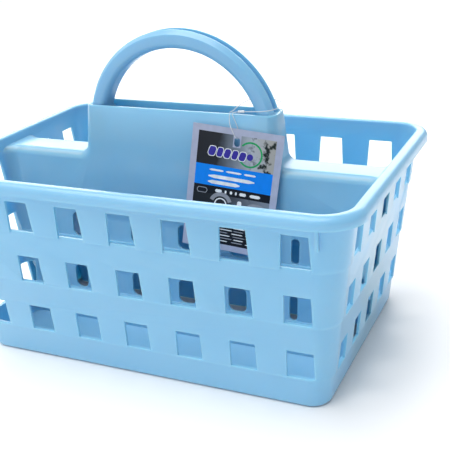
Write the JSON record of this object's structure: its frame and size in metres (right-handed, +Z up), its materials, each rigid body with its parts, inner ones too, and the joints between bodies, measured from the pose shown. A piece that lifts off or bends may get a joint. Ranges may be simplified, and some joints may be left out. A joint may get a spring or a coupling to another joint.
{
  "type": "cleaning caddy",
  "caption": "Open moulded carry caddy with windowed, stepped walls, a rolled rim, a hollow divider with a tower, a plugged-in arched grip and a swinging card tag",
  "frame": {"origin": "the middle of the basket's underside, on the surface it stands on", "axes": "+Z up, +X along the basket's length, towards the end whose handle leg carries the tag; the tag hangs on the -Y side"},
  "size_m": [0.338, 0.229, 0.239],
  "materials": {
    "basket": "injection-moulded polypropylene, light sky blue, semi-gloss",
    "handle": "injection-moulded polypropylene, light sky blue, semi-gloss",
    "card": "printed, coated card",
    "filament": "clear filament",
    "lock": "clear moulded barrel"
  },
  "bodies": {
    "caddy": {"basket": "basket", "handle": "handle", "tag_loop_upper": "filament", "tag_loop_lock": "lock"},
    "tag": {"hang_tag": "card", "tag_loop_lower": "filament"}
  },
  "joints": [
    {"name": "tag_swing", "type": "hinge", "parent": "caddy", "child": "tag", "pos_m": [0.0461, -0.01295, 0.18285], "axis": [-1, 0, 0], "range_deg": [0, 40]}
  ]
}
